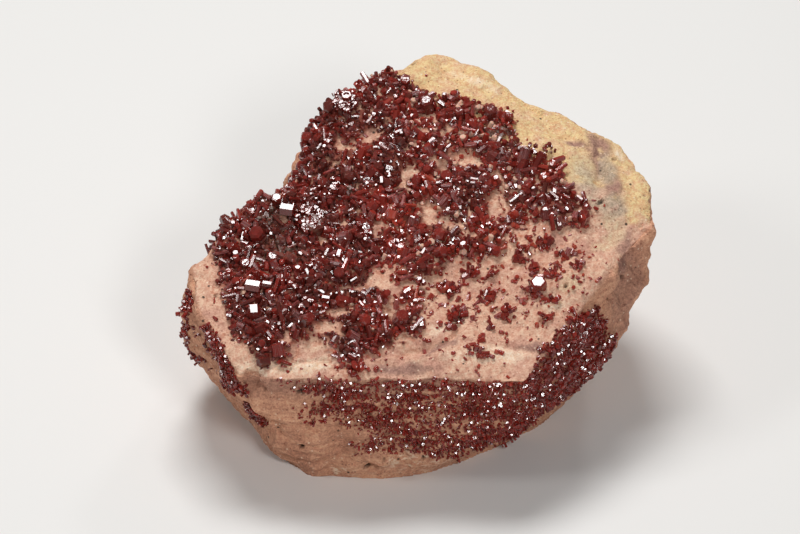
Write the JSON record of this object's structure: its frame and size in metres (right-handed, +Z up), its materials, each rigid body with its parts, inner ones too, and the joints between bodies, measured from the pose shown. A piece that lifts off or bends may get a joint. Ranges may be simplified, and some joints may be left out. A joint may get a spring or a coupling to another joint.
{
  "type": "vanadinite in matrix specimen",
  "caption": "Hand-size block of pinkish sandstone with a flat foot, its sloping upper face covered by a crust of deep red hexagonal vanadinite crystals.",
  "frame": {"origin": "middle of the bottom of the bounding box, on the plane of the flat foot", "axes": "+X to the right along the longest side, +Y towards the back where the upper face rises, +Z up"},
  "size_m": [0.0814, 0.0742, 0.0463],
  "materials": {
    "matrix_stone": "matt, fine sandy grain, pale pinkish tan on the upper face and browner on the broken sides",
    "vanadinite_crystal": "glossy, resinous to adamantine, deep red to almost black, translucent at thin edges"
  },
  "bodies": {
    "root": {"matrix": "matrix_stone", "crystal_crust": "vanadinite_crystal", "front_druse": "vanadinite_crystal", "right_druse": "vanadinite_crystal", "left_druse": "vanadinite_crystal", "crystal_group_01": "vanadinite_crystal", "crystal_group_02": "vanadinite_crystal", "crystal_group_03": "vanadinite_crystal", "crystal_group_04": "vanadinite_crystal", "crystal_group_05": "vanadinite_crystal", "crystal_group_06": "vanadinite_crystal", "crystal_group_07": "vanadinite_crystal", "crystal_group_08": "vanadinite_crystal", "crystal_group_09": "vanadinite_crystal", "crystal_group_10": "vanadinite_crystal", "crystal_group_11": "vanadinite_crystal", "crystal_group_12": "vanadinite_crystal", "crystal_group_13": "vanadinite_crystal", "crystal_group_14": "vanadinite_crystal", "crystal_group_15": "vanadinite_crystal", "crystal_group_16": "vanadinite_crystal", "crystal_group_17": "vanadinite_crystal", "flat_crystal_group": "vanadinite_crystal"}
  },
  "joints": []
}
